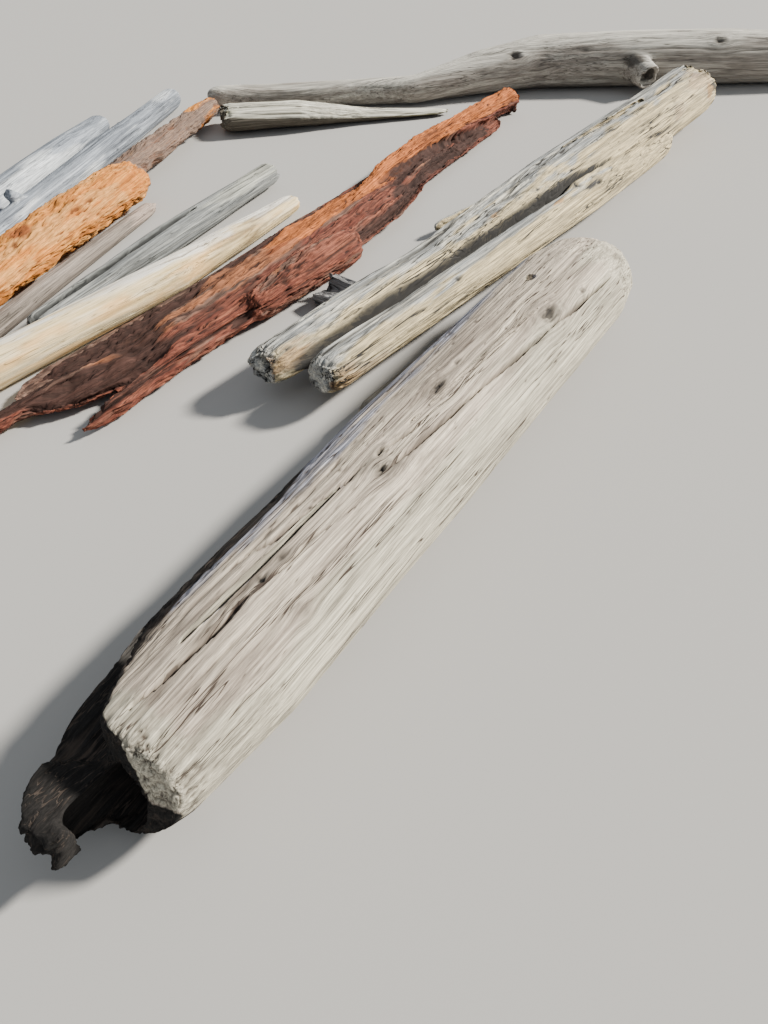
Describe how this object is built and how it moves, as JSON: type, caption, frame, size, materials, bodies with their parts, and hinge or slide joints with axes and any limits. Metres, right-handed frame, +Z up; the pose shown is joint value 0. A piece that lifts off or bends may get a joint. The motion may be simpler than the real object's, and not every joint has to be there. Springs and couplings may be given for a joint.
{
  "type": "stack of logs",
  "caption": "Heap of weathered driftwood logs lying side by side on the ground, with one long log lying slantwise across their far ends.",
  "frame": {"origin": "middle of the heap's bounding box, on the ground it lies on", "axes": "+X along the row of logs from their near ends to their far ends, +Y across the row, +Z up"},
  "size_m": [6.2932, 3.502, 0.3053],
  "materials": {
    "front_log": "weathered, matt",
    "forked_log": "weathered, matt",
    "small_pole": "weathered, matt",
    "grey_block": "weathered, matt",
    "red_log": "rotted, matt",
    "pale_pole": "weathered, smooth",
    "grey_pole": "weathered, matt",
    "thin_pole": "weathered, matt",
    "orange_log": "rotted, matt",
    "silver_pole": "weathered, smooth",
    "short_silver_pole": "weathered, smooth",
    "hollow_slab": "weathered, matt",
    "cross_log": "weathered, smooth"
  },
  "bodies": {
    "root": {"front_log": "front_log", "forked_log": "forked_log", "small_pole": "small_pole", "grey_block": "grey_block", "red_log": "red_log", "pale_pole": "pale_pole", "grey_pole": "grey_pole", "thin_pole": "thin_pole", "orange_log": "orange_log", "silver_pole": "silver_pole", "short_silver_pole": "short_silver_pole", "hollow_slab": "hollow_slab", "cross_log": "cross_log"}
  },
  "joints": []
}
